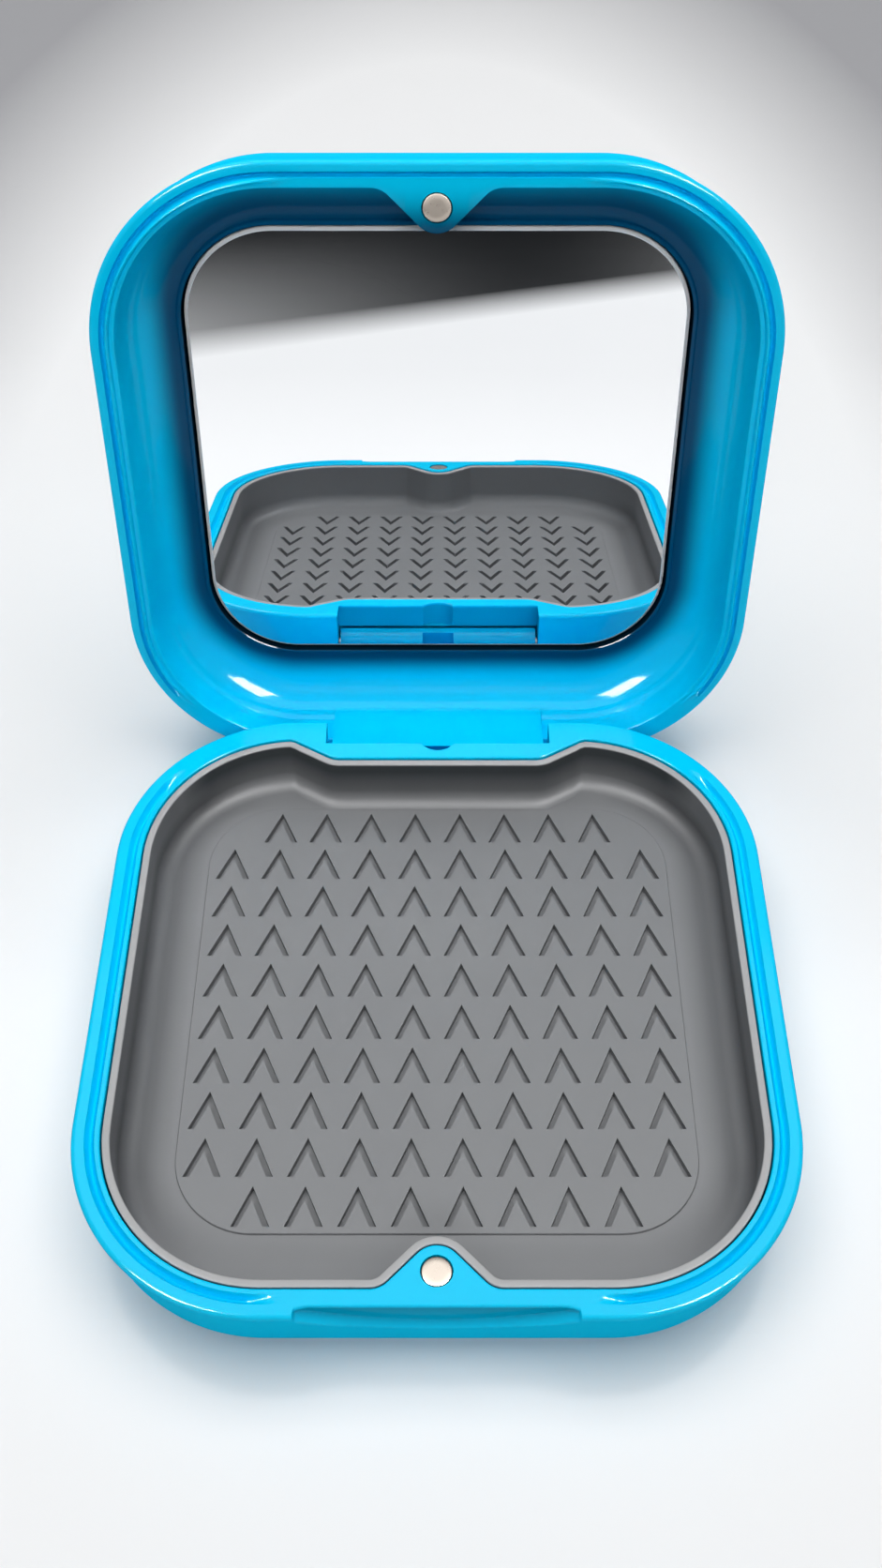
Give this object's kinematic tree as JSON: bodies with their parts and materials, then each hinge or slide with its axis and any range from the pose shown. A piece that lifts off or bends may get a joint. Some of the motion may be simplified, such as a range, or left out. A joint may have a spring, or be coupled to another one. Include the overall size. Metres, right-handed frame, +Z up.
{
  "type": "orthodontic retainer case",
  "caption": "Square clamshell case with rounded corners: a base with a grooved soft liner and a hinged lid with an inset mirror, held shut by magnets, for dental retainers or aligners.",
  "frame": {"origin": "on the table, under the middle of the base's plan", "axes": "+Z up, +Y towards the hinge, -Y towards the thumb scoop, +X to the right as seen from the front"},
  "size_m": [0.086, 0.118, 0.0873],
  "materials": {
    "shell_plastic": "glossy injection-moulded blue plastic",
    "liner_silicone": "matt grey silicone",
    "magnet_nickel": "bright nickel plate",
    "pin_steel": "drawn steel wire",
    "mirror_glass": "silvered glass with a narrow bevel",
    "tape_foam": "black double-sided foam tape"
  },
  "bodies": {
    "base": {"base_shell": "shell_plastic", "liner_tray": "liner_silicone", "base_magnet": "magnet_nickel", "hinge_pin_left": "pin_steel", "hinge_pin_right": "pin_steel"},
    "lid": {"lid_shell": "shell_plastic", "lid_magnet": "magnet_nickel", "mirror_plate": "mirror_glass", "mirror_tape": "tape_foam"}
  },
  "joints": [
    {"name": "lid_hinge", "type": "hinge", "parent": "base", "child": "lid", "pos_m": [0, 0.04005, 0.007], "axis": [1, 0, 0], "range_deg": [0, 101.5]}
  ]
}
